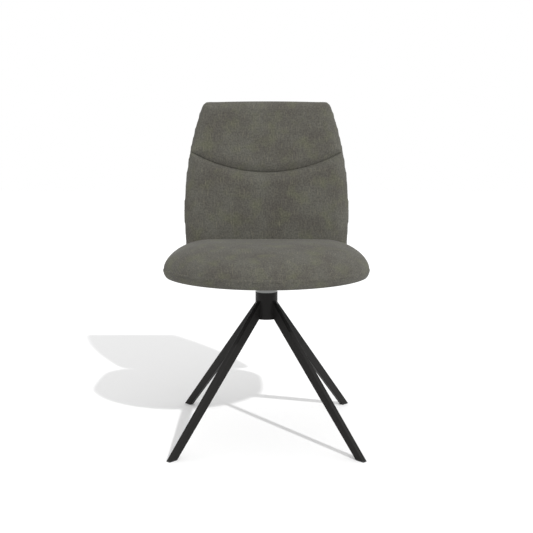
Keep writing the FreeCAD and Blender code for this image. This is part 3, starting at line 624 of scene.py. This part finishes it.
def make_rear_pad():
    """The rear cover's pad: the whole outline, rolled to the rear."""
    def behind(u, v):
        return -REAR_DEPTH * bulge(-REAR_PLAN(u, v), REAR_ROLL, REAR_POWER)
    points, faces = closed_pad(REAR_PLAN, (0, BACK_LENGTH / 2), rear_tuck, behind, ease=1.4 * MM)
    pad = new_piece("back_rear_pad", on_back(points), faces, FABRIC, "seat")
    swollen(pad, voxel=6 * MM, cap=3 * MM, pressure=3, pinned=lambda at: in_back(at)[:, 2] > -HELD)
    lay_cloth(pad, in_back(coordinates(pad.data)), -REAR_DEPTH)
    finish_pad(["back_pad_rear"])


# Front faces of the back: the lower one starts lower by what it swells, and the upper one stands
# a little proud, so that its edge laps over

LUMBAR_FACE = face_height(LUMBAR_PLAN, below_smile, depth=LUMBAR_DEPTH - 3 * MM, roll=26 * MM,
                          seam_roll=7 * MM, crown=4 * MM)
SHOULDER_FACE = face_height(SHOULDER_PLAN, above_smile, depth=SHOULDER_DEPTH + 1.5 * MM,
                            roll=24 * MM, seam_roll=4 * MM, crown=3 * MM)


# Lining and weld beads


def make_lining():
    """Thin non-woven sheet over the turned-in cover, on the seat's plan less a margin: flat above,
    and puckered below by a product of two cosines."""
    foot = SEAT_FOOT_Z - LINING_DROP

    def edge(x, y):
        return SEAT_PLAN(x, y) + LINING_MARGIN

    def puckered(x, y):
        return foot - PUCKER * np.cos(x / PUCKER_ACROSS) * np.cos(y / PUCKER_ALONG)

    points, faces = closed_pad(edge, SEAT_MIDDLE, lambda x, y: np.full_like(x, foot + LINING_RISE),
                               puckered)
    lining = new_piece("underseat_lining", points, faces, LINING, "seat")
    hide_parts("seat_lining")
    x, y = plan_grid(edge, SEAT_MIDDLE)


def make_weld_bead(name, degrees):
    """Fillet bead round a leg's end on the column: a tube along a squircle of the eighth power in
    angle and height, with the ripples of the welding steps."""
    turn = np.linspace(0, 2 * np.pi, 200, endpoint=False)
    reach = (np.cos(turn) ** 8 + np.sin(turn) ** 8) ** (-1 / 8)
    angle = math.radians(degrees) + reach * np.cos(turn) * math.asin(LEG_HALF / COLUMN_RADIUS)
    height = LEG_END_MIDDLE + LEG_END_HALF * reach * np.sin(turn)
    path = np.stack([COLUMN_RADIUS * np.cos(angle), COLUMN_RADIUS * np.sin(angle), height], axis=-1)
    points, faces = tube(path, BEAD_RADIUS + BEAD_RIPPLE * np.sin(turn * BEAD_RIPPLES))
    bead = new_piece(name, points, faces, COAT, "base")


make_seat_pad("seat_top_cushion", seat_crown, top_panel_edge, ["seat_pad_top", "seat_core"],
              face=SEAM_Z + SEAT_CROWN, ease=3.2 * MM, cap=3.5 * MM,
              pinned=lambda at: at[:, 2] < SEAM_Z + HELD)
make_seat_pad("seat_band", tucked_band, seat_under, ["seat_pad_band"],
              face=SEAT_FOOT_Z, ease=2.2 * MM, cap=2 * MM,
              pinned=lambda at: (at[:, 2] > SEAM_Z - HELD) | (at[:, 2] < SEAT_FOOT_Z + HELD))
make_back_pad("back_lower_pad", LUMBAR_PLAN, (0, 120 * MM), LUMBAR_FACE,
              ["back_pad_lower", "back_core_lower"], cap=4 * MM)
make_back_pad("back_upper_pad", SHOULDER_PLAN, (0, 350 * MM), SHOULDER_FACE,
              ["back_pad_upper", "back_core_upper"], cap=3 * MM)
make_rear_pad()
make_lining()
for quarter, corner in enumerate(("rear_right", "rear_left", "front_left", "front_right")):
    make_weld_bead("weld_bead_" + corner, 45 + 90 * quarter)


# Floor, light and camera

def seen_directly(tree):
    """1 for rays from the camera, off metal or through glass, and 0 for light that bounces."""
    path = add(tree, "ShaderNodeLightPath").outputs
    total = path["Is Camera Ray"]
    for name in ("Is Glossy Ray", "Is Transmission Ray"):
        total = add(tree, "ShaderNodeMath", {0: total, 1: path[name]}, operation="MAXIMUM").outputs[0]
    return total


def make_floor():
    """Wide matt floor, plain white to the camera and pale grey to the light."""
    mesh = bpy.data.meshes.new("floor")
    corners = np.array([[-9, -6], [9, -6], [9, 12], [-9, 12]])
    mesh.from_pydata(np.column_stack([corners, np.zeros(4)]).tolist(), [], [(0, 1, 2, 3)])
    floor = bpy.data.objects.new("floor", mesh)
    bpy.context.scene.collection.objects.link(floor)
    material = bpy.data.materials.new("studio_floor_white")
    material.use_nodes = True
    tree = material.node_tree
    tree.nodes.clear()
    colour = add(tree, "ShaderNodeMix", {0: seen_directly(tree), MIX_A: FLOOR_GREY,
                                         MIX_B: WHITE}, data_type="RGBA")
    surface = add(tree, "ShaderNodeBsdfDiffuse", {"Color": colour.outputs[2]})
    add(tree, "ShaderNodeOutputMaterial", {"Surface": surface.outputs[0]})
    mesh.materials.append(material)


def make_sky():
    """Even light from all round, plain white to the camera."""
    world = bpy.data.worlds.new("studio")
    bpy.context.scene.world = world
    world.use_nodes = True
    tree = world.node_tree
    tree.nodes.clear()
    level = add(tree, "ShaderNodeMix", {0: seen_directly(tree), 2: SKY_STRENGTH, 3: 1.0})
    sky = add(tree, "ShaderNodeBackground", {"Color": WHITE, "Strength": level.outputs[0]})
    add(tree, "ShaderNodeOutputWorld", {"Surface": sky.outputs[0]})


def make_sun():
    """The lamp that throws the floor shadow to the left and behind."""
    lamp = bpy.data.lights.new("key", "SUN")
    lamp.energy = SUN_STRENGTH
    lamp.angle = SUN_WIDTH
    sun = bpy.data.objects.new("key", lamp)
    bpy.context.scene.collection.objects.link(sun)
    length = math.hypot(*SUN_FROM[:2])
    sun.rotation_euler = (math.atan2(length, SUN_FROM[2]), 0, math.atan2(SUN_FROM[0], -SUN_FROM[1]))


def make_camera():
    """The photograph's view."""
    lens = bpy.data.cameras.new("camera")
    lens.lens = CAMERA_LENS
    lens.sensor_width = 36
    camera = bpy.data.objects.new("camera", lens)
    bpy.context.scene.collection.objects.link(camera)
    camera.location = CAMERA_PLACE
    camera.rotation_euler = (CAMERA_TILT, 0, 0)
    bpy.context.scene.camera = camera


make_floor()
make_sky()
make_sun()
make_camera()
bpy.context.scene.view_settings.view_transform = "Standard"
